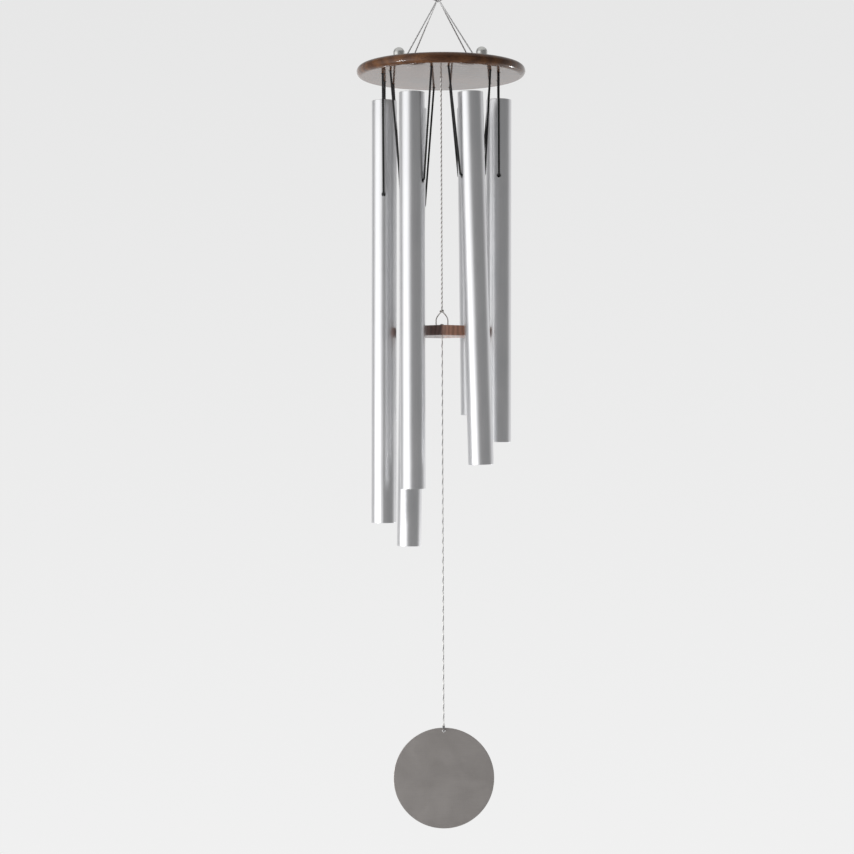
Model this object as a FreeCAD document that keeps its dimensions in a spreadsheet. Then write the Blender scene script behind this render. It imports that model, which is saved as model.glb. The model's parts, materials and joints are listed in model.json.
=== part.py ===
import FreeCAD, Part
import math
import os

import Sketcher

# Six-tube wind chime, millimetres, +Z up.
# The origin is where a hook bears on the inside of the hanging ring, and everything hangs below it.
# The chime's own axis passes a little to one side of the ring, under the centre of mass,
# because the tubes differ in length and the platform hangs level.

Vector = FreeCAD.Vector
UP = Vector(0, 0, 1)

SIZES = {
    # hanging ring and the four thin cords
    "ring_outer": 30.0,
    "ring_wire": 3.5,
    "wrap_length": 5.0,
    "wrap_play": 0.6,
    "apex_drop": 22.5,
    "suspension_cord": 2.3,
    "axis_x": 4.3,
    "axis_y": -0.4,
    # round platform, and the domed knobs that the thin cords loop round
    "platform_diameter": 258.0,
    "platform_thickness": 16.0,
    "platform_drop": 127.0,
    "platform_turn": -1.3,
    "bullnose": 7.95,
    "knob_offset": 62.0,
    "knob_diameter": 17.0,
    "knob_height": 18.5,
    "neck_diameter": 7.0,
    "neck_height": 3.9,
    "eye_knot_offset": 53.5,
    "eye_knot": 4.6,
    "eye_rise": 0.12,
    # tubes, and the cord that carries each of them
    "tube_outer": 38.1,
    "tube_wall": 2.0,
    "tube_circle": 87.7,
    "tube_gap": 36.0,
    "hang_ratio": 0.2242,
    "tube_hole": 6.4,
    "tube_edge": 0.4,
    "tube_length_1": 685.0,
    "tube_length_2": 645.0,
    "tube_length_3": 591.0,
    "tube_length_4": 555.5,
    "tube_length_5": 522.5,
    "tube_length_6": 480.5,
    # how each tube hangs at rest: foot sideways and foot outward in degrees, and its slide along the cord
    "tube_lean_1": 1.06,
    "tube_lean_2": 0.0,
    "tube_lean_3": -0.1,
    "tube_lean_4": 1.65,
    "tube_lean_5": 0.0,
    "tube_lean_6": -0.5,
    "tube_tip_1": 0.0,
    "tube_tip_2": 0.3,
    "tube_tip_3": 0.0,
    "tube_tip_4": 0.0,
    "tube_tip_5": -0.28,
    "tube_tip_6": 0.0,
    "tube_slide_1": 2.0,
    "tube_slide_2": 0.0,
    "tube_slide_3": 1.4,
    "tube_slide_4": 4.5,
    "tube_slide_5": 0.0,
    "tube_slide_6": 0.0,
    "tube_cord": 3.5,
    "cord_hole": 6.0,
    "cord_spread": 36.0,
    "cord_bend": 3.5,
    "cord_rise": 0.4,
    "lacing_knot_width": 8.4,
    "lacing_knot_length": 11.9,
    "lacing_knot_height": 7.0,
    # striker line
    "centre_hole": 5.0,
    "striker_cord": 2.6,
    "stopper_knot": 8.0,
    "junction_drop": 501.0,
    "junction_knot": 6.4,
    "bridle_cord": 2.0,
    "bridle_spread": 9.0,
    "bridle_bend": 6.0,
    "bridle_knot": 4.0,
    "striker_flats": 100.0,
    "striker_thickness": 15.3,
    "striker_drop": 532.3,
    "striker_edge": 1.0,
    # windcatcher line
    "lower_cord": 2.2,
    "lower_hole": 3.4,
    "lower_knot": 4.8,
    "under_knot": 3.4,
    "recess_diameter": 6.0,
    "recess_depth": 5.0,
    "windcatcher_diameter": 154.0,
    "windcatcher_thickness": 2.0,
    "windcatcher_drop": 1215.0,
    "windcatcher_edge": 0.5,
    "windcatcher_hole": 5.0,
    "hole_margin": 4.6,
    "loop_bend": 3.4,
    "loop_knot": 4.4,
    "loop_knot_rise": 4.7,
    # air beside a cord, and between a cord's end and what it meets
    "side_gap": 0.35,
    "seat_gap": 0.6,
}

TUBES = range(1, 7)
CORNERS = {1: (-1, -1), 2: (1, -1), 3: (1, 1), 4: (-1, 1)}

doc = FreeCAD.newDocument("WindChime")
sheet = doc.addObject("Spreadsheet::Sheet", "Sizes")
for row, (alias, value) in enumerate(SIZES.items(), start=1):
    sheet.set(f"A{row}", alias)
    sheet.set(f"B{row}", str(value))
    sheet.setAlias(f"B{row}", alias)
doc.recompute()

subparts = []


def size(alias):
    """A driving dimension, read back from the sheet."""
    return float(sheet.get(alias))


# Heights and places that follow from the driving dimensions.
AXIS = Vector(size("axis_x"), size("axis_y"), 0)
RING_CENTRE = -(size("ring_outer") / 2 - size("ring_wire"))
RING_BOTTOM = RING_CENTRE - (size("ring_outer") - size("ring_wire")) / 2
PLATFORM_TOP = -size("platform_drop")
UNDERSIDE = PLATFORM_TOP - size("platform_thickness")
TUBE_TOP = UNDERSIDE - size("tube_gap")
TURN = FreeCAD.Rotation(UP, size("platform_turn"))
STRIKER_TOP = -size("striker_drop") + size("striker_thickness") / 2
STRIKER_UNDERSIDE = STRIKER_TOP - size("striker_thickness")
WINDCATCHER_HOLE = -size("windcatcher_drop") + size("windcatcher_diameter") / 2 - size("hole_margin")


# ---------------------------------------------------------------- helpers


def on_axis(height):
    """The point of the chime's own axis at that height."""
    return AXIS + UP * height


def named(feature, label, placement=None):
    """Gives a finished sub-part its name and its place."""
    feature.Label = label
    if placement is not None:
        feature.Placement = placement
    subparts.append(feature)
    return feature


def bound(feature, **expressions):
    """Binds properties of a feature to the sheet."""
    for name, expression in expressions.items():
        feature.setExpression(name, expression)
    return feature


def primitive(kind, name, centre=None, **expressions):
    """A Part primitive whose sizes are bound to the sheet."""
    feature = bound(doc.addObject(f"Part::{kind}", name), **expressions)
    if centre is not None:
        feature.Placement.Base = centre
    return feature


def fused(name, *features):
    """One solid of several overlapping primitives."""
    union = doc.addObject("Part::MultiFuse", name)
    union.Shapes = list(features)
    union.Refine = True
    return union


def origin_plane(body, role):
    return next(item for item in body.Origin.OriginFeatures if item.Role == role)


def new_sketch(body, name, role):
    """A sketch on one of the body's own origin planes."""
    sketch = body.newObject("Sketcher::SketchObject", name)
    sketch.AttachmentSupport = [(origin_plane(body, role), "")]
    sketch.MapMode = "FlatFace"
    return sketch


def add_circle(sketch, diameter, x=None, y=None):
    """A circle of a bound diameter, centred on the origin unless x or y is given."""
    circle = sketch.addGeometry(Part.Circle(Vector(1, 1, 0), UP, 1.0), False)
    if x is None and y is None:
        sketch.addConstraint(Sketcher.Constraint("Coincident", circle, 3, -1, 1))
    else:
        for kind, place in (("DistanceX", x or "0"), ("DistanceY", y or "0")):
            index = sketch.addConstraint(Sketcher.Constraint(kind, -1, 1, circle, 3, 1.0))
            sketch.setExpression(f"Constraints[{index}]", place)
    index = sketch.addConstraint(Sketcher.Constraint("Diameter", circle, 2.0))
    sketch.setExpression(f"Constraints[{index}]", diameter)


def pad(body, sketch, length, midplane=False):
    feature = body.newObject("PartDesign::Pad", f"{body.Name}_pad")
    feature.Profile = sketch
    feature.Midplane = midplane
    return bound(feature, Length=length)


def pocket(body, name, sketch, length, midplane=False):
    """Cuts towards the solid: both ways, or upwards from the sketch."""
    feature = body.newObject("PartDesign::Pocket", name)
    feature.Profile = sketch
    feature.Midplane = midplane
    feature.Reversed = not midplane
    return bound(feature, Length=length)


def soften(body, base, edges, radius):
    """Rounds the named edges of a feature."""
    feature = body.newObject("PartDesign::Fillet", f"{body.Name}_edges")
    feature.Base = (base, edges)
    return bound(feature, Radius=radius)


def round_edges(shape):
    """Names of the shape's circular edges."""
    return [f"Edge{number}" for number, edge in enumerate(shape.Edges, start=1)
            if isinstance(edge.Curve, Part.Circle)]


def swept(edges, diameter):
    """A round solid along tangent lines and arcs."""
    path = Part.Wire(edges)
    start = edges[0]
    profile = Part.Wire(Part.makeCircle(diameter / 2, start.valueAt(start.FirstParameter),
                                        start.tangentAt(start.FirstParameter)))
    solid = path.makePipeShell([profile], True, False)
    expected = math.pi * diameter**2 / 4 * path.Length
    if abs(solid.Volume / expected - 1) > 0.01:
        raise RuntimeError(f"a cord's tube has volume {solid.Volume:.1f}, not {expected:.1f}")
    return solid


def rounded_route(points, bend):
    """Straight runs through the points, with a tangent arc of radius bend at each corner."""
    edges = []
    start = points[0]
    for before, corner, after in zip(points, points[1:], points[2:]):
        into = (corner - before).normalize()
        away = (after - corner).normalize()
        turn = into.getAngle(away)
        reach = bend * math.tan(turn / 2)
        inward = (away - into).normalize()
        centre = corner + inward * (bend / math.cos(turn / 2))
        first = corner - into * reach
        last = corner + away * reach
        edges.append(Part.LineSegment(start, first).toShape())
        edges.append(Part.Arc(first, centre - inward * bend, last).toShape())
        start = last
    edges.append(Part.LineSegment(start, points[-1]).toShape())
    return edges


def eye(centre, bend, diameter, normal):
    """A small ring of cord about the centre."""
    return Part.makeTorus(bend, diameter / 2, centre, normal)


def straight(start, end, diameter):
    """A straight round stretch of cord."""
    return Part.makeCylinder(diameter / 2, (end - start).Length, start, end - start)


def cord_feature(label, shape, placement=None):
    """A cord's solid, in its own place."""
    feature = doc.addObject("Part::Feature", label)
    feature.Shape = shape
    return named(feature, label, placement)


def report_cord(label, edges, bends):
    length = sum(edge.Length for edge in edges)
    print(f"{label}: length {length:.1f} mm, bend radii {', '.join(f'{bend:.1f}' for bend in bends)}")


# ---------------------------------------------------------------- hanging ring


def make_hanging_ring():
    """A round steel ring in the XZ plane."""
    ring = primitive("Torus", "Ring", Radius1="(Sizes.ring_outer - Sizes.ring_wire) / 2",
                     Radius2="Sizes.ring_wire / 2")
    upright = FreeCAD.Rotation(Vector(1, 0, 0), 90)
    named(ring, "hanging_ring", FreeCAD.Placement(UP * RING_CENTRE, upright))


def make_cord_wrap():
    """The turns of cord round the ring's lowest point, which roll on its wire."""
    bore = "Sizes.ring_wire / 2 + Sizes.wrap_play"
    outer = primitive("Cylinder", "WrapOuter", Radius=f"{bore} + Sizes.suspension_cord",
                      Height="Sizes.wrap_length")
    inner = primitive("Cylinder", "WrapInner", Radius=bore, Height="Sizes.wrap_length")
    wrap = doc.addObject("Part::Cut", "Wrap")
    wrap.Base = outer
    wrap.Tool = inner
    along_x = FreeCAD.Rotation(Vector(0, 1, 0), 90)
    start = Vector(-size("wrap_length") / 2, 0, RING_BOTTOM)
    named(wrap, "cord_wrap", FreeCAD.Placement(start, along_x))


def make_suspension_cord(number):
    """A straight thin cord from the ring to a small knot, and its eye round a knob's neck."""
    outward = TURN.multVec(Vector(*CORNERS[number], 0))
    cord = size("suspension_cord")
    level = PLATFORM_TOP + size("eye_knot") / 2 + size("eye_rise")
    knot = on_axis(level) + outward * size("eye_knot_offset")
    neck = on_axis(level) + outward * size("knob_offset")
    apex = UP * -size("apex_drop")
    run = knot - apex
    wrap_bottom = RING_BOTTOM - size("ring_wire") / 2 - size("wrap_play") - cord
    top = apex + run * ((wrap_bottom - size("seat_gap") - apex.z) / run.z)
    bend = size("neck_diameter") / 2 + size("side_gap") + cord / 2
    near_side = neck - Vector(outward).normalize() * bend
    knot_ball = Part.makeSphere(size("eye_knot") / 2, knot, outward.cross(UP))
    pieces = [straight(top, knot, cord), straight(knot, near_side, cord), eye(neck, bend, cord, UP)]
    cord_feature(f"suspension_cord_{number}", knot_ball.fuse(pieces))
    report_cord(f"suspension_cord_{number}", [Part.LineSegment(top, near_side).toShape()], [bend])


# ---------------------------------------------------------------- platform


def make_platform():
    """The round wooden platform with its bullnose edge, twelve cord holes and the centre hole."""
    body = doc.addObject("PartDesign::Body", "Platform")
    outline = new_sketch(body, "PlatformOutline", "XY_Plane")
    add_circle(outline, "Sizes.platform_diameter")
    disc = pad(body, outline, "Sizes.platform_thickness")
    doc.recompute()
    soften(body, disc, round_edges(disc.Shape), "Sizes.bullnose")
    centre = new_sketch(body, "CentreHole", "XY_Plane")
    add_circle(centre, "Sizes.centre_hole")
    pocket(body, "CentrePocket", centre, "Sizes.platform_thickness")
    pair = new_sketch(body, "CordHoles", "XY_Plane")
    for side in ("", "-"):
        add_circle(pair, "Sizes.cord_hole", "Sizes.tube_circle", f"{side}Sizes.cord_spread")
    holes = pocket(body, "CordPocket", pair, "Sizes.platform_thickness")
    ring_of_holes = body.newObject("PartDesign::PolarPattern", "CordPattern")
    ring_of_holes.Originals = [holes]
    ring_of_holes.Axis = (pair, ["N_Axis"])
    ring_of_holes.Angle = 360
    ring_of_holes.Occurrences = len(TUBES)
    body.Tip = ring_of_holes
    named(body, "platform", FreeCAD.Placement(on_axis(UNDERSIDE), TURN))


def make_anchor_knob(number):
    """A domed metal knob on a narrow neck."""
    outward = TURN.multVec(Vector(*CORNERS[number], 0))
    neck = primitive("Cylinder", f"Neck{number}", Radius="Sizes.neck_diameter / 2",
                     Height="Sizes.neck_height")
    wall = primitive("Cylinder", f"KnobWall{number}", UP * size("neck_height"),
                     Radius="Sizes.knob_diameter / 2",
                     Height="Sizes.knob_height - Sizes.neck_height - Sizes.knob_diameter / 2")
    dome_centre = size("knob_height") - size("knob_diameter") / 2
    dome = primitive("Sphere", f"Dome{number}", UP * dome_centre, Radius="Sizes.knob_diameter / 2")
    dome.Angle1 = 0
    place = on_axis(PLATFORM_TOP) + outward * size("knob_offset")
    named(fused(f"Knob{number}", neck, wall, dome), f"anchor_knob_{number}",
          FreeCAD.Placement(place, FreeCAD.Rotation()))


def make_lacing():
    """The top-side runs of the tubes' cord, each from one tube's hole to the next tube's hole."""
    reach = math.hypot(size("tube_circle"), size("cord_spread"))
    half_step = math.radians(30) - math.atan2(size("cord_spread"), size("tube_circle"))
    half_run = reach * math.sin(half_step)
    run_level = size("platform_thickness") + size("cord_rise") + size("tube_cord") / 2
    corners = [Vector(-half_run, 0, 0), Vector(-half_run, 0, run_level),
               Vector(half_run, 0, run_level), Vector(half_run, 0, 0)]
    edges = rounded_route(corners, size("cord_bend"))
    staple = swept(edges, size("tube_cord"))
    staples = []
    for number in TUBES:
        turned = staple.copy()
        turned.Placement = FreeCAD.Placement(Vector(0, reach * math.cos(half_step), 0), FreeCAD.Rotation())
        turned.rotate(Vector(0, 0, 0), UP, 60 * number)
        staples.append(turned)
    cord_feature("lacing_cord", Part.makeCompound(staples),
                 FreeCAD.Placement(on_axis(UNDERSIDE), TURN))
    report_cord("lacing_cord, one of six runs", edges, [size("cord_bend")] * 2)
    knot = primitive("Ellipsoid", "LacingKnot", Radius1="Sizes.lacing_knot_height / 2",
                     Radius2="Sizes.lacing_knot_length / 2", Radius3="Sizes.lacing_knot_width / 2")
    back = Vector(0, reach * math.cos(half_step), run_level + size("tube_cord") / 2)
    named(knot, "lacing_knot", FreeCAD.Placement(on_axis(UNDERSIDE) + TURN.multVec(back), TURN))


# ---------------------------------------------------------------- tubes


def tube_angle(number):
    """Direction of a tube from the chime's axis, in degrees from +X. The longest is tube 1."""
    return 120 + 60 * (number - 1) + size("platform_turn")


def tube_directions(number):
    """A tube's outward and sideways directions."""
    angle = math.radians(tube_angle(number))
    outward = Vector(math.cos(angle), math.sin(angle), 0)
    return outward, UP.cross(outward)


def tube_frame(number):
    """Place of a tube's cross hole, with local X along the hole and local Z up the tube."""
    outward, sideways = tube_directions(number)
    height = TUBE_TOP - size("hang_ratio") * size(f"tube_length_{number}")
    turned = FreeCAD.Rotation(UP, tube_angle(number) + 90)
    leaning = FreeCAD.Rotation(Vector(0, 1, 0), -size(f"tube_lean_{number}"))
    tipping = FreeCAD.Rotation(Vector(1, 0, 0), -size(f"tube_tip_{number}"))
    place = on_axis(height) + outward * size("tube_circle") + sideways * size(f"tube_slide_{number}")
    return FreeCAD.Placement(place, turned.multiply(leaning).multiply(tipping))


def make_tube(number):
    """An open aluminium tube, hung by a cross hole above its middle."""
    length = f"Sizes.tube_length_{number}"
    body = doc.addObject("PartDesign::Body", f"Tube{number}")
    section = new_sketch(body, f"TubeSection{number}", "XY_Plane")
    section.setExpression(".AttachmentOffset.Base.z", f"(Sizes.hang_ratio - 1) * {length}")
    add_circle(section, "Sizes.tube_outer")
    add_circle(section, "Sizes.tube_outer - 2 * Sizes.tube_wall")
    barrel = pad(body, section, length)
    doc.recompute()
    soften(body, barrel, round_edges(barrel.Shape), "Sizes.tube_edge")
    cross = new_sketch(body, f"TubeCross{number}", "YZ_Plane")
    add_circle(cross, "Sizes.tube_hole")
    body.Tip = pocket(body, f"TubePocket{number}", cross, "2 * Sizes.tube_outer", midplane=True)
    named(body, f"tube_{number}", tube_frame(number))


def make_tube_cord(number):
    """A cord that comes down outside the tube, crosses inside it and goes back up."""
    outward, sideways = tube_directions(number)
    frame = tube_frame(number)
    crossing = frame.Rotation.multVec(Vector(1, 0, 0))
    hang = frame.Base
    bend_out = size("tube_outer") / 2 + size("side_gap") + size("tube_cord") / 2
    top = on_axis(UNDERSIDE - size("seat_gap")) + outward * size("tube_circle")
    points = [top + sideways * size("cord_spread"), hang + crossing * bend_out,
              hang - crossing * bend_out, top - sideways * size("cord_spread")]
    edges = rounded_route(points, size("cord_bend"))
    cord_feature(f"tube_cord_{number}", swept(edges, size("tube_cord")))
    report_cord(f"tube_cord_{number}", edges, [size("cord_bend")] * 2)


# ---------------------------------------------------------------- striker line


def vertical_cord(name, top, bottom, diameter):
    """A straight hanging cord on the chime's axis."""
    cord = primitive("Cylinder", name, on_axis(bottom), Radius=f"Sizes.{diameter} / 2")
    cord.Height = top - bottom
    return cord


def ball(name, centre, diameter):
    """A plain round knot."""
    return primitive("Sphere", name, centre, Radius=f"Sizes.{diameter} / 2")


def make_striker_line():
    """The stopper knot above the platform, the cord, the knot where it divides, and its two legs."""
    knot_centre = PLATFORM_TOP + size("cord_rise") + size("stopper_knot") / 2
    stopper = ball("StopperBall", on_axis(knot_centre), "stopper_knot")
    tail = vertical_cord("StopperTail", knot_centre, UNDERSIDE, "striker_cord")
    named(fused("Stopper", stopper, tail), "striker_stopper_knot")

    junction = -size("junction_drop")
    named(vertical_cord("StrikerCord", UNDERSIDE - size("side_gap"), junction, "striker_cord"),
          "striker_cord")
    named(ball("JunctionKnot", on_axis(junction), "junction_knot"), "junction_knot")

    knot_level = STRIKER_UNDERSIDE + size("recess_depth") - size("bridle_knot") / 2
    spread = size("bridle_spread")
    legs = []
    for side in (-1, 1):
        shoulder = on_axis(junction - spread) + Vector(side * spread, 0, 0)
        foot = on_axis(knot_level) + Vector(side * spread, 0, 0)
        leg_route = rounded_route([on_axis(junction), shoulder, foot], size("bridle_bend"))
        legs.append(swept(leg_route, size("bridle_cord")))
    junction_space = Part.makeSphere(size("junction_knot") / 2 + size("side_gap"), on_axis(junction))
    cord_feature("striker_bridle", Part.makeCompound([leg.cut(junction_space) for leg in legs]))
    report_cord("striker_bridle, one of two legs", leg_route, [size("bridle_bend")])

    knots = [Part.makeSphere(size("bridle_knot") / 2, on_axis(knot_level) + Vector(side * spread, 0, 0))
             for side in (-1, 1)]
    cord_feature("bridle_knots", Part.makeCompound(knots))


def make_striker():
    """The six-sided wooden striker, one flat to each tube, with its three holes."""
    corner_turn = FreeCAD.Rotation(UP, 30)
    blank = primitive("Prism", "StrikerBlank", Circumradius="Sizes.striker_flats / 2 / cos(30)",
                      Height="Sizes.striker_thickness")
    blank.Polygon = 6
    doc.recompute()
    rounded = doc.addObject("Part::Fillet", "StrikerEdges")
    rounded.Base = blank
    edge = size("striker_edge")
    rounded.Edges = [(number, edge, edge) for number in range(1, len(blank.Shape.Edges) + 1)]
    drills = [primitive("Cylinder", "LowerCordDrill", Radius="Sizes.lower_hole / 2",
                        Height="Sizes.striker_thickness")]
    for side in (-1, 1):
        # the prism is turned by 30 degrees, so its holes are turned back by as much
        place = corner_turn.inverted().multVec(Vector(side * size("bridle_spread"), 0, 0))
        drills.append(primitive("Cylinder", f"LegDrill{side + 2}", place,
                                Radius="Sizes.bridle_cord / 2 + Sizes.side_gap",
                                Height="Sizes.striker_thickness"))
        drills.append(primitive("Cylinder", f"Recess{side + 2}", place,
                                Radius="Sizes.recess_diameter / 2", Height="Sizes.recess_depth"))
    striker = doc.addObject("Part::Cut", "Striker")
    striker.Base = rounded
    striker.Tool = fused("StrikerDrills", *drills)
    named(striker, "striker", FreeCAD.Placement(on_axis(STRIKER_UNDERSIDE), corner_turn))


# ---------------------------------------------------------------- windcatcher line


def make_windcatcher_line():
    """The lower cord's knots, the cord itself and the small loop through the windcatcher."""
    knot_centre = STRIKER_TOP + size("lower_knot") / 2
    upper = ball("LowerStopper", on_axis(knot_centre), "lower_knot")
    tail = vertical_cord("LowerTail", knot_centre, STRIKER_UNDERSIDE, "lower_cord")
    named(fused("LowerStopperKnot", upper, tail), "windcatcher_stopper_knot")

    under_centre = STRIKER_UNDERSIDE - (size("seat_gap") + size("under_knot")) / 2
    named(ball("UnderKnot", on_axis(under_centre), "under_knot"), "windcatcher_under_knot")

    bar_bottom = WINDCATCHER_HOLE + size("windcatcher_hole") / 2
    cord = size("lower_cord")
    loop_centre = on_axis(bar_bottom + size("loop_bend") - cord / 2 - size("seat_gap"))
    loop_knot = loop_centre + UP * size("loop_knot_rise")
    cord_top = under_centre - size("under_knot") / 2 - size("side_gap")
    cord_bottom = loop_knot.z + size("loop_knot") / 2 + size("side_gap")
    named(vertical_cord("LowerCord", cord_top, cord_bottom, "lower_cord"), "windcatcher_cord")
    loop = eye(loop_centre, size("loop_bend"), cord, Vector(1, 0, 0))
    cord_feature("windcatcher_loop", Part.makeSphere(size("loop_knot") / 2, loop_knot).fuse(loop))


def make_windcatcher():
    """A flat round metal disc that faces along Y, with one hole near its top."""
    body = doc.addObject("PartDesign::Body", "Windcatcher")
    outline = new_sketch(body, "WindcatcherOutline", "XZ_Plane")
    add_circle(outline, "Sizes.windcatcher_diameter")
    disc = pad(body, outline, "Sizes.windcatcher_thickness", midplane=True)
    doc.recompute()
    soften(body, disc, round_edges(disc.Shape), "Sizes.windcatcher_edge")
    hole = new_sketch(body, "WindcatcherHole", "XZ_Plane")
    add_circle(hole, "Sizes.windcatcher_hole", "0",
               "Sizes.windcatcher_diameter / 2 - Sizes.hole_margin")
    body.Tip = pocket(body, "WindcatcherPocket", hole, "2 * Sizes.windcatcher_thickness", midplane=True)
    named(body, "windcatcher",
          FreeCAD.Placement(on_axis(-size("windcatcher_drop")), FreeCAD.Rotation()))


# ---------------------------------------------------------------- the whole chime


def check_document():
    """Stops if any feature failed or any sub-part isn't sound."""
    for item in doc.Objects:
        if "Invalid" in item.State or "Error" in item.State:
            raise RuntimeError(f"{item.Name} failed: {item.State}")
    for feature in subparts:
        shape = feature.Shape
        if shape.isNull() or not shape.isValid() or not shape.Solids:
            raise RuntimeError(f"{feature.Label} has no sound solid")


make_hanging_ring()
make_cord_wrap()
for corner in CORNERS:
    make_suspension_cord(corner)
make_platform()
for corner in CORNERS:
    make_anchor_knob(corner)
make_lacing()
for tube in TUBES:
    make_tube_cord(tube)
    make_tube(tube)
make_striker_line()
make_striker()
make_windcatcher_line()
make_windcatcher()

doc.recompute()
check_document()
os.makedirs("parts", exist_ok=True)
for feature in subparts:
    feature.Shape.exportStep(f"parts/{feature.Label}.step")
    print(f"{feature.Label}: volume {feature.Shape.Volume:.0f} mm3, solids {len(feature.Shape.Solids)}")
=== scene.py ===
"""Looks of the hanging wind chime: cords, knots, materials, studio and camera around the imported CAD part."""

import json
import math

import bpy
from mathutils import Matrix, Vector


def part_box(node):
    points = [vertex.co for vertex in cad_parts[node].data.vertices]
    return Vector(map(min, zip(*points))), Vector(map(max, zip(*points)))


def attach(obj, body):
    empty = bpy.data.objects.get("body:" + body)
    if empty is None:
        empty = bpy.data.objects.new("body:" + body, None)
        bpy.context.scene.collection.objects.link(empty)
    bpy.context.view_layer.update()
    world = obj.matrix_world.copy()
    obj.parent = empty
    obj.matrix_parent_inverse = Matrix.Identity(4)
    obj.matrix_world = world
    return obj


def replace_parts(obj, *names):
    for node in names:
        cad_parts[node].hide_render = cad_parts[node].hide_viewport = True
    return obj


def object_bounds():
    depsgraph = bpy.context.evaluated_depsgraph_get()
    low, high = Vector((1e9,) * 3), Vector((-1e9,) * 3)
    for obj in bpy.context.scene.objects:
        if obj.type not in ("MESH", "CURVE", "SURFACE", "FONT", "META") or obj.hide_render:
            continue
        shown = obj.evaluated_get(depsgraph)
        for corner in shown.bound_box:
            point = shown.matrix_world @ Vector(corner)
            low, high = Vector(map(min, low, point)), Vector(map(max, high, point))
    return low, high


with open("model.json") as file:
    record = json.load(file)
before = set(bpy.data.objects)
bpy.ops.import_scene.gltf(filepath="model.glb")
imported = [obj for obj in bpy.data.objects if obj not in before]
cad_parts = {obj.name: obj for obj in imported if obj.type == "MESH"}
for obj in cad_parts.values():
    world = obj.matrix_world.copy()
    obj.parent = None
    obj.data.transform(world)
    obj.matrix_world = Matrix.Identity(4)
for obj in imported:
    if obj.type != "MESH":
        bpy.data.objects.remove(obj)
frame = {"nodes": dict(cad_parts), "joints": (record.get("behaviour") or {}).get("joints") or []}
cad_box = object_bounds()
NODES = frame["nodes"]
UP = Vector((0, 0, 1))

# ---------------------------------------------------------------- sizes, in metres

TUBES = range(1, 7)
CORNERS = {1: (-1, -1), 2: (1, -1), 3: (1, 1), 4: (-1, 1)}

SUSPENSION_CORD = 0.0023
TUBE_CORD = 0.0035
STRIKER_CORD = 0.0026
BRIDLE_CORD = 0.0020
LOWER_CORD = 0.0022

TUBE_CIRCLE = 0.0877
TUBE_RADIUS = 0.01905
CORD_SPREAD = 0.036
KNOB_OFFSET = 0.062
EYE_KNOT_OFFSET = 0.0535
EYE_BEND = 0.0050
EYE_RISE = 0.00242  # of a cord eye's middle over the platform
BRIDLE_SPREAD = 0.009
RING_RADIUS = 0.01325  # to the middle of its wire
RING_WIRE_RADIUS = 0.00175
CORDS_START = -0.0284  # where the four thin cords come out from under the turns on the ring
CORDS_APEX = -0.0225  # where their straight lines would meet

FULL_TURN = 2 * math.pi
TURN_STEPS = 12  # control points in one turn of a cord
SPLINE_DRAW = 1.03  # a spline runs this much inside the points that it follows round a turn


def middle(node):
    """The middle of a CAD node's box."""
    low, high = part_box(node)
    return (low + high) / 2


PLATFORM_LOW, PLATFORM_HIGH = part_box("platform")
UNDERSIDE = PLATFORM_LOW.z
PLATFORM_TOP = PLATFORM_HIGH.z
AXIS = Vector((middle("platform").x, middle("platform").y, 0))
JUNCTION = middle("junction_knot")
STRIKER_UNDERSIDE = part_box("striker")[0].z
STRIKER_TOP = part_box("striker")[1].z
RING_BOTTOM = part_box("hanging_ring")[0].z + RING_WIRE_RADIUS

# Each joint's place and axis, by its name.
JOINTS = {joint["name"]: (Vector(joint["pos_m"]), Vector(joint["axis"])) for joint in frame["joints"]}
# The platform is turned a little. Unturned, tube 1 would hang at 120 degrees round it, so sideways from there
# would be 210.
FIRST_SIDEWAYS = -JOINTS["tube_1_swing"][1]
TURN = Matrix.Rotation(math.atan2(FIRST_SIDEWAYS.y, FIRST_SIDEWAYS.x) - math.radians(210), 3, "Z")


def on_axis(height):
    """The point at that height on the upright line through the middle of the chime."""
    return AXIS + UP * height


# ---------------------------------------------------------------- node helpers


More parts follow.
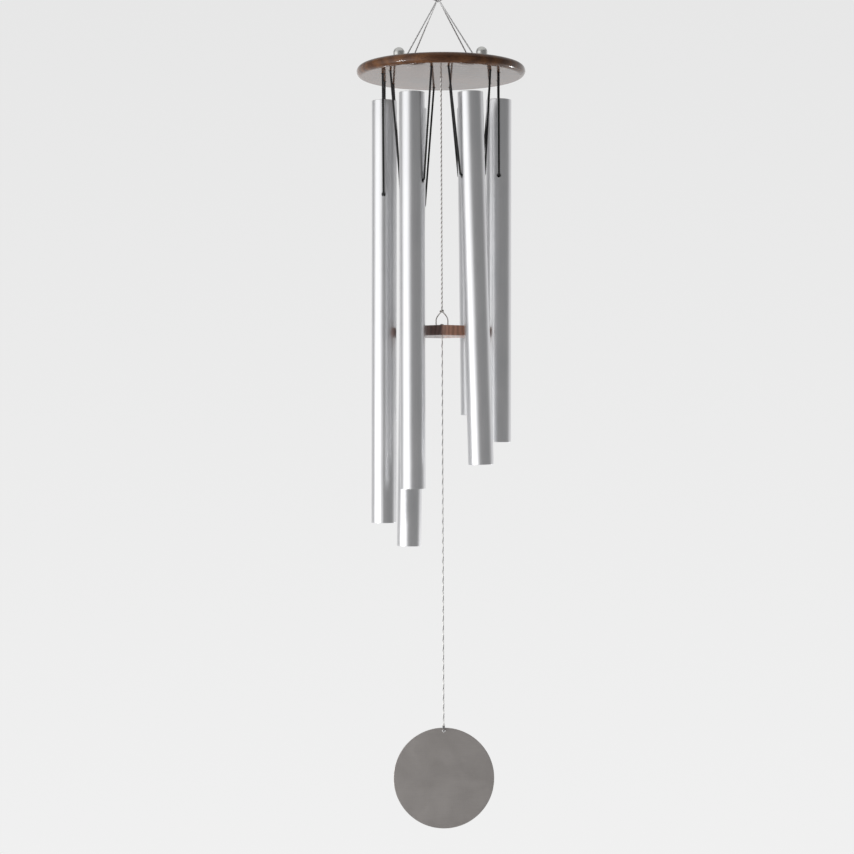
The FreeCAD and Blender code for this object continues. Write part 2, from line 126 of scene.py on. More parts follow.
class Shader:
    """A material's node tree with short names for what this scene uses."""

    def __init__(self, name):
        self.material = bpy.data.materials.new(name)
        self.material.use_nodes = True
        self.tree = self.material.node_tree
        self.surface = self.tree.nodes["Principled BSDF"]

    def node(self, kind, **settings):
        made = self.tree.nodes.new(f"ShaderNode{kind}")
        for name, value in settings.items():
            setattr(made, name, value)
        return made

    def link(self, source, target):
        self.tree.links.new(source, target)

    def set(self, **values):
        """Plain values on the surface's own sockets."""
        for name, value in values.items():
            self.surface.inputs[name.replace("_", " ")].default_value = value

    def place(self, scale=(1, 1, 1)):
        """The point on the surface, in metres, scaled."""
        coordinates = self.node("TexCoord")
        mapping = self.node("Mapping")
        mapping.inputs["Scale"].default_value = scale
        self.link(coordinates.outputs["Object"], mapping.inputs["Vector"])
        return mapping.outputs["Vector"]

    def noise(self, place, scale, detail=4.0, roughness=0.55, distortion=0.0):
        noise = self.node("TexNoise")
        noise.inputs["Scale"].default_value = scale
        noise.inputs["Detail"].default_value = detail
        noise.inputs["Roughness"].default_value = roughness
        noise.inputs["Distortion"].default_value = distortion
        self.link(place, noise.inputs["Vector"])
        return noise.outputs["Fac"]

    def ramp(self, factor, *stops):
        """A colour or grey ramp through (position, colour) stops."""
        ramp = self.node("ValToRGB")
        elements = ramp.color_ramp.elements
        while len(elements) < len(stops):
            elements.new(0.5)
        for element, (position, colour) in zip(elements, stops):
            element.position = position
            element.color = (*colour, 1) if hasattr(colour, "__len__") else (colour, colour, colour, 1)
        self.link(factor, ramp.inputs["Fac"])
        return ramp.outputs["Color"]

    def between(self, factor, low, high):
        """The factor, from 0 to 1, as a number from low to high."""
        spread = self.node("MapRange")
        spread.inputs["To Min"].default_value = low
        spread.inputs["To Max"].default_value = high
        self.link(factor, spread.inputs["Value"])
        return spread.outputs["Result"]

    def mix(self, factor, first, second, blend="MIX"):
        mix = self.node("Mix", data_type="RGBA", blend_type=blend)
        for source, socket in ((factor, mix.inputs[0]), (first, mix.inputs[6]), (second, mix.inputs[7])):
            if isinstance(source, bpy.types.NodeSocket):
                self.link(source, socket)
            elif hasattr(source, "__len__"):
                socket.default_value = (*source, 1)
            else:
                socket.default_value = source
        return mix.outputs[2]

    def bump(self, height, strength, distance):
        bump = self.node("Bump")
        bump.inputs["Strength"].default_value = strength
        bump.inputs["Distance"].default_value = distance
        self.link(height, bump.inputs["Height"])
        return bump.outputs["Normal"]

    def wear(self, **sockets):
        """Links computed values to the surface's sockets."""
        for name, source in sockets.items():
            self.link(source, self.surface.inputs[name.replace("_", " ")])
        return self.material


# ---------------------------------------------------------------- materials


def satin_tube_metal():
    """Drawn and satin-finished aluminium: fine lines along the tube and faint cloudy marks."""
    shader = Shader("satin_aluminium")
    shader.set(Metallic=1.0, Anisotropic=0.35)
    lines = shader.noise(shader.place((1, 1, 0.004)), 2600, 2.0)
    broad = shader.noise(shader.place((1, 1, 0.03)), 160, 3.0)
    clouds = shader.noise(shader.place((1, 1, 0.35)), 34, 5.0, 0.6, 0.4)
    tone = shader.mix(0.5, lines, clouds)
    colour = shader.ramp(tone, (0.3, (0.68, 0.685, 0.70)), (0.7, (0.80, 0.80, 0.81)))
    roughness = shader.between(shader.mix(0.4, clouds, broad), 0.25, 0.36)
    return shader.wear(Base_Color=colour, Roughness=roughness, Normal=shader.bump(lines, 0.12, 0.0002))


def brushed_disc_metal():
    """Satin metal with short fine brush lines across the disc."""
    shader = Shader("brushed_disc")
    shader.set(Metallic=1.0, Anisotropic=0.3)
    lines = shader.noise(shader.place((0.02, 1, 1)), 2400, 2.0)
    clouds = shader.noise(shader.place(), 22, 5.0, 0.6, 0.5)
    colour = shader.ramp(shader.mix(0.6, lines, clouds), (0.3, (0.385, 0.360, 0.345)),
                         (0.7, (0.458, 0.430, 0.414)))
    roughness = shader.between(clouds, 0.34, 0.46)
    return shader.wear(Base_Color=colour, Roughness=roughness, Normal=shader.bump(lines, 0.15, 0.0002))


def lacquered_wood():
    """Dark stained hardwood under thick gloss lacquer, its grain along X."""
    shader = Shader("dark_lacquered_wood")
    shader.set(Roughness=0.38, Coat_Weight=1.0, Coat_Roughness=0.04, Coat_IOR=1.28, IOR=1.5,
               Specular_IOR_Level=0.12)
    warp = shader.noise(shader.place((1.2, 7, 7)), 6.0, 3.0, 0.5)
    bands = shader.node("TexWave", wave_type="BANDS", bands_direction="Y")
    bands.inputs["Scale"].default_value = 22.0
    bands.inputs["Distortion"].default_value = 9.0
    bands.inputs["Detail"].default_value = 3.0
    bands.inputs["Detail Scale"].default_value = 1.2
    shader.link(shader.place((0.12, 1, 1)), bands.inputs["Vector"])
    pores = shader.noise(shader.place((0.035, 1, 1)), 1500, 2.0, 0.7)
    figure = shader.mix(0.45, bands.outputs["Fac"], warp)
    wood = shader.ramp(figure, (0.15, (0.070, 0.027, 0.011)), (0.5, (0.105, 0.042, 0.016)),
                       (0.85, (0.140, 0.058, 0.021)))
    dark_pores = shader.ramp(pores, (0.36, 0.35), (0.5, 1.0))
    colour = shader.mix(1.0, wood, dark_pores, "MULTIPLY")
    return shader.wear(Base_Color=colour, Normal=shader.bump(pores, 0.08, 0.0003))


def satin_wood():
    """The striker's satin-finished wood with fine grain along Y: darker left of its middle as painted shade,
    lighter right of it as painted light.
    """
    shader = Shader("satin_striker_wood")
    shader.set(IOR=1.5, Coat_Weight=0.6, Coat_Roughness=0.22)
    bands = shader.node("TexWave", wave_type="BANDS", bands_direction="X")
    bands.inputs["Scale"].default_value = 46.0
    bands.inputs["Distortion"].default_value = 6.0
    bands.inputs["Detail"].default_value = 3.0
    shader.link(shader.place((1, 0.12, 0.5)), bands.inputs["Vector"])
    pores = shader.noise(shader.place((1, 0.05, 0.6)), 1400, 2.0, 0.7)
    figure = shader.mix(0.5, bands.outputs["Fac"], pores)
    # Painted shade and painted light: the darker wood goes left of the striker's middle as its shaded side,
    # the lighter wood right of it as its lit side.
    shaded_side_wood = shader.ramp(figure, (0.2, (0.070, 0.036, 0.029)), (0.8, (0.130, 0.066, 0.052)))
    lit_side_wood = shader.ramp(figure, (0.2, (0.27, 0.13, 0.082)), (0.8, (0.48, 0.235, 0.155)))
    split = shader.node("SeparateXYZ")
    shader.link(shader.place(), split.inputs[0])
    lit_side_share = shader.node("MapRange")
    lit_side_share.inputs["From Min"].default_value = AXIS.x - 0.002
    lit_side_share.inputs["From Max"].default_value = AXIS.x + 0.004
    shader.link(split.outputs["X"], lit_side_share.inputs["Value"])
    wood = shader.mix(lit_side_share.outputs["Result"], shaded_side_wood, lit_side_wood)
    return shader.wear(Base_Color=wood, Roughness=shader.between(pores, 0.38, 0.55),
                       Normal=shader.bump(pores, 0.2, 0.0003))


def worn_steel(name, low, high, scale, roughness):
    """Satin steel with hairline scratches, a tone that drifts and darker spots."""
    shader = Shader(name)
    shader.set(Metallic=1.0)
    hairs = shader.noise(shader.place((1, 0.1, 1)), scale * 12, 2.0)
    clouds = shader.noise(shader.place(), scale, 5.0, 0.6)
    colour = shader.ramp(shader.mix(0.6, hairs, clouds), (0.3, low), (0.7, high))
    gloss = shader.between(clouds, roughness - 0.07, roughness + 0.09)
    return shader.wear(Base_Color=colour, Roughness=gloss, Normal=shader.bump(hairs, 0.12, 0.0001))


def fibre(name, dark, light):
    """Twisted yarn: fine fibres and a tone that changes along it."""
    shader = Shader(name)
    shader.set(Roughness=0.85, Sheen_Weight=0.25, Sheen_Roughness=0.5, Specular_IOR_Level=0.25)
    hairs = shader.noise(shader.place((1, 1, 0.35)), 5200, 3.0, 0.7)
    drift = shader.noise(shader.place(), 420, 3.0)
    colour = shader.ramp(shader.mix(0.4, hairs, drift), (0.32, dark), (0.68, light))
    return shader.wear(Base_Color=colour, Normal=shader.bump(hairs, 0.5, 0.0001))


TUBE_METAL = satin_tube_metal()
DISC_METAL = brushed_disc_metal()
PLATFORM_WOOD = lacquered_wood()
STRIKER_WOOD = satin_wood()
RING_STEEL = worn_steel("ring_steel", (0.20, 0.20, 0.205), (0.34, 0.34, 0.345), 300, 0.3)
KNOB_METAL = worn_steel("knob_satin_nickel", (0.58, 0.58, 0.56), (0.72, 0.72, 0.70), 260, 0.34)
BLACK_YARN = fibre("black_yarn", (0.008, 0.008, 0.009), (0.030, 0.029, 0.030))
BLACK_CORE = fibre("black_core", (0.004, 0.004, 0.004), (0.012, 0.012, 0.012))
GREY_YARN = fibre("grey_yarn", (0.60, 0.60, 0.60), (0.88, 0.88, 0.88))
DULL_GREY_YARN = fibre("dull_grey_yarn", (0.42, 0.42, 0.425), (0.64, 0.64, 0.645))
DARK_GREY_YARN = fibre("dark_grey_yarn", (0.13, 0.13, 0.135), (0.28, 0.28, 0.285))
BROWN_YARN = fibre("brown_yarn", (0.19, 0.17, 0.155), (0.38, 0.35, 0.33))
PALE_YARN = fibre("pale_yarn", (0.74, 0.73, 0.71), (0.94, 0.93, 0.91))
SILVER_YARN = fibre("silver_yarn", (0.62, 0.62, 0.61), (0.88, 0.88, 0.87))


def dress(node, material):
    """Gives a CAD node its finished material."""
    mesh = NODES[node].data
    mesh.materials.clear()
    mesh.materials.append(material)


for number in TUBES:
    dress(f"tube_{number}", TUBE_METAL)
for number in CORNERS:
    dress(f"anchor_knob_{number}", KNOB_METAL)
dress("platform", PLATFORM_WOOD)
dress("striker", STRIKER_WOOD)
dress("windcatcher", DISC_METAL)
dress("hanging_ring", RING_STEEL)

# ---------------------------------------------------------------- cord making


def smooth_line(points):
    """Points along the smooth NURBS line that has these control points."""
    curve = bpy.data.curves.new("route", "CURVE")
    curve.dimensions = "3D"
    curve.resolution_u = 12
    spline = curve.splines.new("NURBS")
    spline.points.add(len(points) - 1)
    for control, point in zip(spline.points, points):
        control.co = (*point, 1)
    spline.order_u = 3
    spline.use_endpoint_u = True
    carrier = bpy.data.objects.new("route", curve)
    mesh = bpy.data.meshes.new_from_object(carrier)
    line = [vertex.co.copy() for vertex in mesh.vertices]
    bpy.data.meshes.remove(mesh)
    bpy.data.objects.remove(carrier)
    bpy.data.curves.remove(curve)
    return line


def evenly(line, step):
    """The same line with its points about step apart."""
    lengths = [(after - before).length for before, after in zip(line, line[1:])]
    total = sum(lengths)
    count = max(2, math.ceil(total / step))
    placed, index, passed = [], 0, 0.0
    for number in range(count + 1):
        target = total * number / count
        while index < len(lengths) - 1 and passed + lengths[index] < target:
            passed += lengths[index]
            index += 1
        share = min(1.0, (target - passed) / max(lengths[index], 1e-12))
        placed.append(line[index].lerp(line[index + 1], share))
    return placed


def sides(line):
    """Two directions across the line at each of its points, carried along without twist."""
    across = []
    ahead = (line[1] - line[0]).normalized()
    start = ahead.orthogonal().normalized()
    for index in range(len(line)):
        before, after = line[max(index - 1, 0)], line[min(index + 1, len(line) - 1)]
        ahead = (after - before).normalized()
        start = (start - ahead * start.dot(ahead)).normalized()
        across.append((start, ahead.cross(start)))
    return across


def tube_faces(rings, around, offset):
    """Faces of a tube from its rings of points, and its two end caps."""
    faces = []
    for ring in range(rings - 1):
        for corner in range(around):
            following = (corner + 1) % around
            low, high = offset + ring * around, offset + (ring + 1) * around
            faces.append((low + corner, low + following, high + following, high + corner))
    faces.append(tuple(offset + corner for corner in reversed(range(around))))
    faces.append(tuple(offset + (rings - 1) * around + corner for corner in range(around)))
    return faces


class Bundle:
    """Collects strands, each a tube of its own material, into one mesh."""

    def __init__(self):
        self.points, self.faces, self.paints, self.materials = [], [], [], []

    def strand(self, line, width, height, material, outward=None, around=6):
        """A strand along the line, width across and height outward."""
        if material not in self.materials:
            self.materials.append(material)
        offset = len(self.points)
        across = sides(line)
        for index, point in enumerate(line):
            first, second = across[index]
            if outward is not None:
                first = outward[index]
                ahead = line[min(index + 1, len(line) - 1)] - line[max(index - 1, 0)]
                second = ahead.normalized().cross(first)
            for corner in range(around):
                angle = FULL_TURN * corner / around
                self.points.append(point + first * (height / 2 * math.cos(angle))
                                   + second * (width / 2 * math.sin(angle)))
        made = tube_faces(len(line), around, offset)
        self.faces += made
        self.paints += [self.materials.index(material)] * len(made)

    def piece(self, name, body, slot):
        mesh = bpy.data.meshes.new(name)
        mesh.from_pydata(self.points, [], self.faces)
        for material in self.materials:
            mesh.materials.append(material)
        mesh.polygons.foreach_set("material_index", self.paints)
        mesh.polygons.foreach_set("use_smooth", [True] * len(self.faces))
        mesh.update()
        made = bpy.data.objects.new(name, mesh)
        bpy.context.scene.collection.objects.link(made)
        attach(made, body)
        return made


def twisted(bundle, line, diameter, yarns, turn=3.2):
    """Strands that wind round the line like a rope's, one for each yarn, turn diameters for each turn."""
    count = len(yarns)
    ratio = 1 / math.sin(math.pi / count)
    thick = diameter / (1 + ratio)
    radius = thick * ratio / 2
    points = evenly(line, diameter * turn / 14)
    across = sides(points)
    step = (points[1] - points[0]).length
    for number, yarn in enumerate(yarns):
        strand, outward = [], []
        for index, point in enumerate(points):
            angle = FULL_TURN * (index * step / (diameter * turn) + number / count)
            side = across[index][0] * math.cos(angle) + across[index][1] * math.sin(angle)
            strand.append(point + side * radius)
            outward.append(side)
        bundle.strand(strand, thick * 1.08, thick, yarn, outward)


def braided(bundle, line, diameter, yarns, core, turn=3.4, each_way=4):
    """A round braid: each_way strands wind each way and pass over and under each other, round a core."""
    thick = diameter * 0.2
    wave = diameter * 0.07
    radius = diameter / 2 - thick / 2 - wave
    width = FULL_TURN * radius / each_way * 0.62
    points = evenly(line, diameter * turn / 20)
    across = sides(points)
    step = (points[1] - points[0]).length
    bundle.strand(points, radius * 2, radius * 2, core, around=8)
    for way in (1, -1):
        for number in range(each_way):
            strand, outward = [], []
            for index, point in enumerate(points):
                wound = FULL_TURN * index * step / (diameter * turn)
                angle = way * wound + FULL_TURN * number / each_way
                side = across[index][0] * math.cos(angle) + across[index][1] * math.sin(angle)
                strand.append(point + side * (radius + way * wave * math.cos(each_way * wound)))
                outward.append(side)
            bundle.strand(strand, width, thick, yarns[number % len(yarns)], outward)


def knot_line(centre, radius, axis):
    """A closed overhand knot about the centre, its thin way along the axis, inside that radius."""
    side = axis.orthogonal().normalized()
    other = axis.cross(side).normalized()
    line = []
    count = 72
    for index in range(count + 1):
        turn = FULL_TURN * index / count
        line.append(centre + side * ((math.sin(turn) + 2 * math.sin(2 * turn)) / 3 * radius)
                    + other * ((math.cos(turn) - 2 * math.cos(2 * turn)) / 3 * radius)
                    + axis * (-math.sin(3 * turn) * radius * 0.42))
    return line


def knot(bundle, centre, reach, diameter, yarns, axis=UP):
    """A tight overhand knot that fits in a ball of that reach."""
    line = knot_line(centre, reach - diameter / 2, axis.normalized())
    twisted(bundle, line, diameter, yarns, turn=2.6)


# ---------------------------------------------------------------- cords: ring to platform

GREY_LAY = (GREY_YARN, DULL_GREY_YARN, GREY_YARN)


def make_ring_turns():
    """Turns of cord side by side over the ring's lowest point."""
    air = 0.00025
    wound = RING_WIRE_RADIUS + air + SUSPENSION_CORD / 2
    turns = 2
    pitch = SUSPENSION_CORD * 1.02
    points = []
    for index in range(turns * TURN_STEPS + 1):
        turn = FULL_TURN * index / TURN_STEPS
        along = (index / (turns * TURN_STEPS) - 0.5) * turns * pitch
        swing = along / RING_RADIUS
        outward = Vector((math.sin(swing), 0, -math.cos(swing)))
        centre = Vector((0, 0, RING_BOTTOM + RING_RADIUS)) + outward * RING_RADIUS
        points.append(centre + outward * (wound * math.cos(turn)) + Vector((0, wound * math.sin(turn), 0)))
    bundle = Bundle()
    twisted(bundle, smooth_line(points), SUSPENSION_CORD, GREY_LAY)
    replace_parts(bundle.piece("ring_turns", "wrap", "grey_cord"), "cord_wrap")


def make_suspension_cord(number):
    """A thin cord straight down from the ring, once round a knob's neck, and its knot."""
    outward = TURN @ Vector((*CORNERS[number], 0))
    direction = outward.normalized()
    sideways = UP.cross(direction)
    level = PLATFORM_TOP + EYE_RISE
    knot_centre = on_axis(level) + outward * EYE_KNOT_OFFSET
    neck = on_axis(level) + outward * KNOB_OFFSET
    apex = Vector((0, 0, CORDS_APEX))
    start = apex.lerp(knot_centre, (apex.z - CORDS_START) / (apex.z - knot_centre.z))
    loop_radius = EYE_BEND * SPLINE_DRAW
    above_knot = knot_centre.lerp(start, 0.09)
    points = [start, above_knot, knot_centre]
    for index in range(1, TURN_STEPS):
        turn = math.pi + FULL_TURN * index / TURN_STEPS
        points.append(neck + (direction * math.cos(turn) + sideways * math.sin(turn)) * loop_radius)
    points.append(knot_centre + direction * 0.001)
    line = smooth_line(points)
    bundle = Bundle()
    twisted(bundle, line, SUSPENSION_CORD, GREY_LAY)
    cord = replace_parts(bundle.piece(f"suspension_{number}", "platform", "grey_cord"),
                       f"suspension_cord_{number}")
    tie = Bundle()
    knot(tie, knot_centre, 0.0031, SUSPENSION_CORD * 0.8, GREY_LAY, (knot_centre - start).normalized())
    tie_piece = tie.piece(f"suspension_knot_{number}", "platform", "grey_cord")


make_ring_turns()
for number in CORNERS:
    make_suspension_cord(number)

# ---------------------------------------------------------------- cords: tubes


BLACK_BRAID = (BLACK_YARN,)


def make_tube_cord(number):
    """A black cord from one platform hole, through the tube's cross hole, and up to the next hole."""
    top, swing_axis = JOINTS[f"tube_{number}_swing"]
    hang, crossing = JOINTS[f"tube_{number}_rock"]
    corner_reach = TUBE_RADIUS + 0.0019  # just outside the cross hole, where the cord turns into the tube
    inside_reach = TUBE_RADIUS - 0.0055
    hang = hang + UP * 0.0007  # the spline rounds the corner below its point
    points = []
    for side in (1, -1):
        above = top - swing_axis * (side * CORD_SPREAD)
        corner = hang + crossing * (side * corner_reach)
        inside = hang + crossing * (side * inside_reach)
        near = corner + (above - corner).normalized() * (corner - inside).length
        half = [above, near, corner, inside]
        points += half if side == 1 else reversed(half)
    line = smooth_line(points)
    bundle = Bundle()
    braided(bundle, line, TUBE_CORD, BLACK_BRAID, BLACK_CORE)
    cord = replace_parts(bundle.piece(f"hanger_cord_{number}", f"hanger_{number}", "black_cord"),
                       f"tube_cord_{number}")


def make_lacing():
    """The same cord's runs over the platform, from each tube's second hole to the next tube's first."""
    reach = math.hypot(TUBE_CIRCLE, CORD_SPREAD)
    half_step = math.radians(30) - math.atan2(CORD_SPREAD, TUBE_CIRCLE)
    half_run = reach * math.sin(half_step)
    run_level = PLATFORM_TOP + 0.0004 + TUBE_CORD / 2
    for number in TUBES:
        angle = math.radians(90 + 60 * number)
        outward = TURN @ Vector((math.cos(angle), math.sin(angle), 0))
        sideways = UP.cross(outward)
        middle_point = on_axis(0) + outward * (reach * math.cos(half_step))
        points = []
        for side in (-1, 1):
            hole = middle_point + sideways * (side * half_run)
            brow = hole - sideways * (side * 0.0008) + UP * (run_level + 0.0016)
            over = hole - sideways * (side * 0.006) + UP * (run_level + 0.0002)
            half = [hole + UP * UNDERSIDE, hole + UP * (PLATFORM_TOP - 0.003), brow, over]
            points += half if side == -1 else reversed(half)
        line = smooth_line(points)
        bundle = Bundle()
        braided(bundle, line, TUBE_CORD, BLACK_BRAID, BLACK_CORE)
        piece = bundle.piece(f"lacing_run_{number}", "platform", "black_cord")
        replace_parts(piece, "lacing_cord")
    tie = Bundle()
    tie_place = middle("lacing_knot") - UP * 0.0002
    knot(tie, tie_place, 0.0056, TUBE_CORD * 0.86, (BLACK_YARN,) * 3, Vector((1, 0, 0)))
    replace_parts(tie.piece("lacing_tie", "platform", "black_cord"), "lacing_knot")


for number in TUBES:
    make_tube_cord(number)
make_lacing()

# ---------------------------------------------------------------- cords: striker and windcatcher

FLECK = 0.0072  # from one dark fleck of the striker cord to the next
LONG_FLECK = 0.015  # and of the windcatcher cord
FLECKED = (BROWN_YARN, PALE_YARN, PALE_YARN)
BROWN_LAY = (BROWN_YARN, PALE_YARN, BROWN_YARN)
PALE_LAY = (PALE_YARN, SILVER_YARN, PALE_YARN)
LOWER_LAY = (PALE_YARN, DARK_GREY_YARN, PALE_YARN)
BRIDLE_LAY = (PALE_YARN, PALE_YARN, PALE_YARN)
# Also used for the windcatcher loop's turns, where the dark colour is painted shade inside the hole.
DARK_LAY = (DARK_GREY_YARN, BROWN_YARN, DARK_GREY_YARN)


def straight_cord(name, body, slot, node, top, bottom, diameter, weave):
    """A cord that hangs straight down between two knots."""
    line = smooth_line([on_axis(top), on_axis((top + bottom) / 2), on_axis(bottom)])
    bundle = Bundle()
    weave(bundle, line, diameter)
    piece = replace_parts(bundle.piece(name, body, slot), node)
    return piece, line


def make_striker_line():
    """The stopper knot, the flecked cord, the knot where it divides and the two legs to the striker."""
    stopper = Bundle()
    knot_centre = PLATFORM_TOP + 0.0044
    knot(stopper, on_axis(knot_centre), 0.0044, STRIKER_CORD * 0.86, BROWN_LAY)
    tail_end = UNDERSIDE - 0.0001
    tail = smooth_line([on_axis(knot_centre), on_axis((knot_centre + UNDERSIDE) / 2), on_axis(tail_end)])
    twisted(stopper, tail, STRIKER_CORD, FLECKED, turn=FLECK / STRIKER_CORD)
    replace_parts(stopper.piece("striker_stopper", "striker_hanger", "flecked_cord"), "striker_stopper_knot")

    def flecked(bundle, line, diameter):
        twisted(bundle, line, diameter, FLECKED, turn=FLECK / diameter)

    division = Bundle()
    knot(division, JUNCTION, 0.0038, STRIKER_CORD * 0.8, BROWN_LAY)
    junction_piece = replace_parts(division.piece("striker_junction", "striker_line", "flecked_cord"),
                                 "junction_knot")
    cord, line = straight_cord("striker_line_cord", "striker_line", "flecked_cord", "striker_cord",
                               UNDERSIDE, JUNCTION.z + 0.001, STRIKER_CORD, flecked)

    knot_level = middle("bridle_knots").z
    for side, word in ((-1, "left"), (1, "right")):
        foot = on_axis(knot_level) + Vector((side * BRIDLE_SPREAD, 0, 0))
        shoulder = on_axis(JUNCTION.z - BRIDLE_SPREAD) + Vector((side * BRIDLE_SPREAD, 0, 0))
        points = [JUNCTION + Vector((side * 0.0015, 0, -0.0015)), shoulder, shoulder - UP * 0.010, foot]
        line = smooth_line(points)
        bundle = Bundle()
        twisted(bundle, line, BRIDLE_CORD, BRIDLE_LAY)
        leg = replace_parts(bundle.piece(f"bridle_leg_{word}", "striker_block", "pale_cord"), "striker_bridle")
        tie = Bundle()
        knot(tie, foot + UP * 0.0002, 0.0026, BRIDLE_CORD * 0.72, PALE_LAY)
        tie_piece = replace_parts(tie.piece(f"bridle_knot_{word}", "striker_block", "pale_cord"),
                                "bridle_knots")


# The turns round the metal above the windcatcher's hole, loose enough to clear it while it tips: how far
# to the side they lie, how far below the CAD loop and above the metal's edge they reach, and how far to
# the front and back.
LOOP_TURNS = ((-0.0008, 0.0002, 0.0008, 0.0032), (0.0008, 0.0002, 0.0008, 0.0032),
              (-0.0006, 0.0017, 0.0020, 0.0036), (0.0006, 0.0017, 0.0020, 0.0036))


def make_windcatcher_line():
    """The lower cord, its knots above and below the striker, and the loop through the windcatcher."""
    stopper = Bundle()
    knot_centre = STRIKER_TOP + 0.0025
    knot(stopper, on_axis(knot_centre), 0.0029, LOWER_CORD * 0.84, DARK_LAY)
    tail_end = STRIKER_UNDERSIDE - 0.0002
    tail = smooth_line([on_axis(knot_centre), on_axis(STRIKER_TOP - 0.006), on_axis(tail_end)])
    twisted(stopper, tail, LOWER_CORD, PALE_LAY)
    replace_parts(stopper.piece("lower_stopper", "striker_block", "flecked_cord"), "windcatcher_stopper_knot")

    under = Bundle()
    under_centre = middle("windcatcher_under_knot")
    knot(under, under_centre, 0.0021, LOWER_CORD * 0.62, PALE_LAY)
    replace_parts(under.piece("lower_under_knot", "lower_hanger", "pale_cord"), "windcatcher_under_knot")

    def pale(bundle, line, diameter):
        twisted(bundle, line, diameter, LOWER_LAY, turn=LONG_FLECK / diameter)

    low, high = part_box("windcatcher_cord")
    cord, line = straight_cord("windcatcher_line_cord", "windcatcher_line", "pale_cord", "windcatcher_cord",
                               high.z + 0.001, low.z - 0.001, LOWER_CORD, pale)

    loop_low, loop_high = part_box("windcatcher_loop")
    lowest = loop_low.z + LOWER_CORD / 2
    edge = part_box("windcatcher")[1].z
    loop = Bundle()
    for sideways, drop, rise, reach in LOOP_TURNS:
        bottom = lowest - drop
        top = edge + LOWER_CORD / 2 + rise
        centre = Vector((AXIS.x + sideways, AXIS.y, (top + bottom) / 2))
        points = []
        for index in range(TURN_STEPS + 1):
            turn = FULL_TURN * index / TURN_STEPS
            spoke = Vector((0, math.sin(turn) * reach, math.cos(turn) * (top - bottom) / 2))
            points.append(centre + spoke * SPLINE_DRAW)
        # The turns are the lower cord, coloured with the dark lay as painted shade inside the windcatcher's
        # hole.
        twisted(loop, smooth_line(points), LOWER_CORD, DARK_LAY)
    knot(loop, on_axis(loop_high.z - 0.0022), 0.0026, LOWER_CORD * 0.66, PALE_LAY)
    loop_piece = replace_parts(loop.piece("windcatcher_cord_loop", "windcatcher_eye", "pale_cord"),
                             "windcatcher_loop")


make_striker_line()
make_windcatcher_line()

# ---------------------------------------------------------------- studio

BACKDROP_HIGH, BACKDROP_LOW = 0.80, 0.875  # what the camera sees behind the chime
# The plain studio that the metal mirrors: a pale backdrop behind, one soft box at the front left and grey
# walls for the rest. Bearings are in degrees, 0 towards the viewer and positive to the right.
BACKDROP_LIGHT = 0.85
SOFT_BOX_LIGHT = 1.5
WALL_LIGHT = 0.3
FADE = 30
SOFT_BOX_LEFT, SOFT_BOX_RIGHT = -80, -40
BACKDROP_LEFT, BACKDROP_RIGHT = -140, 120
WALLS = ((-180, BACKDROP_LIGHT), (BACKDROP_LEFT, BACKDROP_LIGHT), (SOFT_BOX_LEFT - FADE, WALL_LIGHT),
         (SOFT_BOX_LEFT, SOFT_BOX_LIGHT), (SOFT_BOX_RIGHT, SOFT_BOX_LIGHT),
         (SOFT_BOX_RIGHT + FADE, WALL_LIGHT), (BACKDROP_RIGHT - FADE, WALL_LIGHT),
         (BACKDROP_RIGHT, BACKDROP_LIGHT), (180, BACKDROP_LIGHT))
# Sine of the height above the horizon, with the share of the walls' light there: half of it from well above
# the soft box upwards.
STOREYS = ((-1.0, 1.0), (0.1, 1.0), (0.4, 0.5), (1.0, 0.5))
OVERHEAD = 0.7
# Bearing in degrees and power in watts of the lamps for the glints.
LOW_LAMPS = ((-59, 30.0), (128, 10.0))
LAMP_DIP = math.radians(30)
LAMP_DISTANCE = 2.5
FLOOR_RADIUS = 1.1
FLOOR_DROP = 0.30  # from the windcatcher's lowest point
FLOOR_CORNERS = 96


def make_world():
    """A pale backdrop for the camera, and a studio of soft light and grey walls for the metal to reflect."""
    world = bpy.data.worlds.new("studio")
    bpy.context.scene.world = world
    world.use_nodes = True
    tree = world.node_tree

    def node(kind, **inputs):
        made = tree.nodes.new(f"ShaderNode{kind}")
        for name, value in inputs.items():
            socket = made.inputs[int(name[1:])] if name[1:].isdigit() else made.inputs[name.replace("_", " ")]
            if isinstance(value, bpy.types.NodeSocket):
                tree.links.new(value, socket)
            else:
                socket.default_value = value
        return made

    def calculate(operation, first, second):
        made = node("Math", i0=first, i1=second)
        made.operation = operation
        return made.outputs[0]

    def mapped(value, *limits):
        names = ("From_Min", "From_Max", "To_Min", "To_Max")
        return node("MapRange", Value=value, **dict(zip(names, limits))).outputs["Result"]

    def levels(value, low, high, stops):
        made = node("ValToRGB", Fac=mapped(value, low, high, 0.0, 1.0))
        elements = made.color_ramp.elements
        while len(elements) < len(stops):
            elements.new(0.5)
        for element, (place, level) in zip(elements, stops):
            element.position = (place - low) / (high - low)
            element.color = (level, level, level, 1)
        return made.outputs["Color"]

    def blend(factor, first, second, kind="MIX"):
        made = tree.nodes.new("ShaderNodeMix")
        made.data_type = "RGBA"
        made.blend_type = kind
        for source, socket in ((factor, made.inputs[0]), (first, made.inputs[6]), (second, made.inputs[7])):
            if isinstance(source, bpy.types.NodeSocket):
                tree.links.new(source, socket)
            else:
                socket.default_value = source
        return made.outputs[2]

    split = node("SeparateXYZ", Vector=node("TexCoord").outputs["Generated"])
    across, depth, height = split.outputs
    bearing = calculate("DEGREES", calculate("ARCTAN2", across, calculate("MULTIPLY", depth, -1.0)), 0.0)
    walls = blend(1.0, levels(bearing, -180.0, 180.0, WALLS), levels(height, -1.0, 1.0, STOREYS), "MULTIPLY")
    room = blend(mapped(height, 0.5, 0.75, 0.0, 1.0), walls, (OVERHEAD, OVERHEAD, OVERHEAD, 1))
    backdrop = mapped(height, -0.21, 0.21, BACKDROP_LOW, BACKDROP_HIGH)
    seen = blend(node("LightPath").outputs["Is Camera Ray"], room, backdrop)
    tree.links.new(seen, tree.nodes["Background"].inputs["Color"])


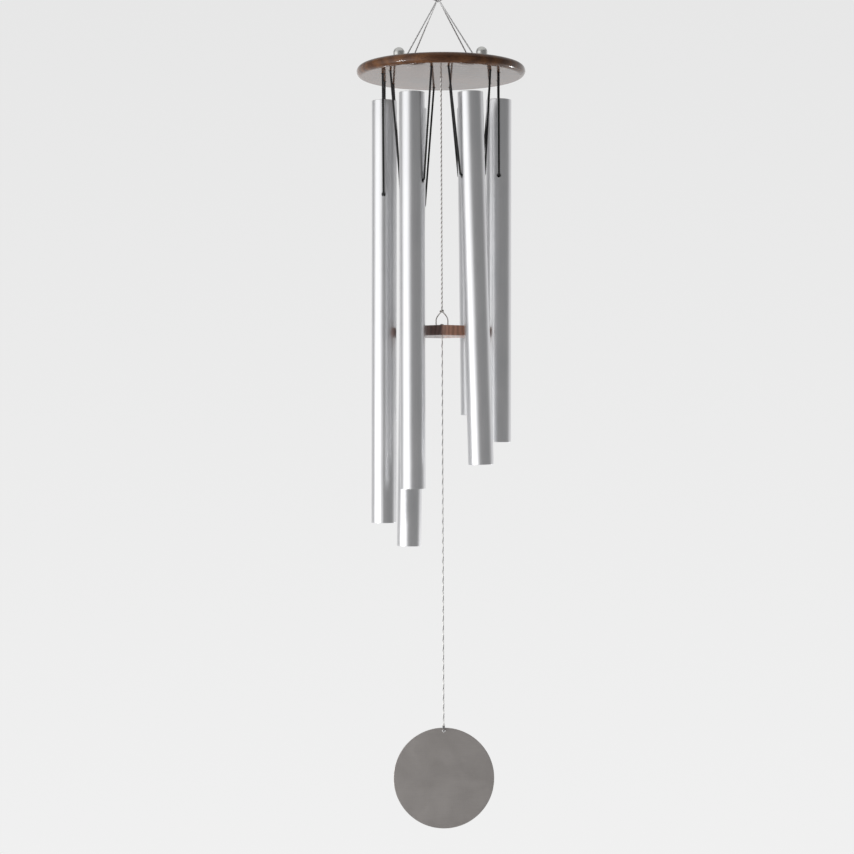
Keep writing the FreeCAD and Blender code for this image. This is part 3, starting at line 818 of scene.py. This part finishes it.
def make_floor():
    """A plain pale floor under the chime."""
    level = cad_box[0][2] - FLOOR_DROP
    rim = []
    for corner in range(FLOOR_CORNERS):
        turn = FULL_TURN * corner / FLOOR_CORNERS
        rim.append((FLOOR_RADIUS * math.cos(turn), FLOOR_RADIUS * math.sin(turn), level))
    mesh = bpy.data.meshes.new("floor")
    mesh.from_pydata(rim, [], [tuple(range(FLOOR_CORNERS))])
    floor = bpy.data.objects.new("floor", mesh)
    bpy.context.scene.collection.objects.link(floor)
    shader = Shader("floor_paint")
    shader.set(Roughness=0.9, Specular_IOR_Level=0.2)
    speckle = shader.noise(shader.place(), 40, 4.0)
    mesh.materials.append(shader.wear(Base_Color=shader.ramp(speckle, (0.3, 0.79), (0.7, 0.81))))


def make_low_lamps():
    """Two small soft lamps below the platform, for the glints along its rim. The camera doesn't see them."""
    for bearing, power in LOW_LAMPS:
        turn = math.radians(bearing)
        lamp = bpy.data.lights.new("low_lamp", "AREA")
        lamp.shape = "RECTANGLE"
        lamp.size, lamp.size_y = 0.50, 0.22
        lamp.energy = power
        holder = bpy.data.objects.new("low_lamp", lamp)
        level_part = Vector((math.sin(turn), -math.cos(turn), 0)) * math.cos(LAMP_DIP)
        reach = level_part - UP * math.sin(LAMP_DIP)
        holder.location = on_axis(UNDERSIDE) + reach * LAMP_DISTANCE
        holder.rotation_euler = (-reach).to_track_quat("-Z", "Y").to_euler()
        holder.visible_camera = False
        bpy.context.scene.collection.objects.link(holder)


def make_camera():
    """The camera level with the middle of the chime, 3.07 m in front of it."""
    camera = bpy.data.cameras.new("camera")
    camera.sensor_width = 36.0
    camera.lens = 84.5
    camera.clip_end = 50.0
    viewer = bpy.data.objects.new("camera", camera)
    viewer.location = (AXIS.x - 0.0236, AXIS.y - 3.066, -0.678)
    viewer.rotation_euler = (math.radians(90), math.radians(0.24), 0)
    bpy.context.scene.collection.objects.link(viewer)
    bpy.context.scene.camera = viewer


make_world()
make_floor()
make_low_lamps()
make_camera()
bpy.context.scene.view_settings.view_transform = "Standard"
bpy.context.scene.view_settings.look = "None"
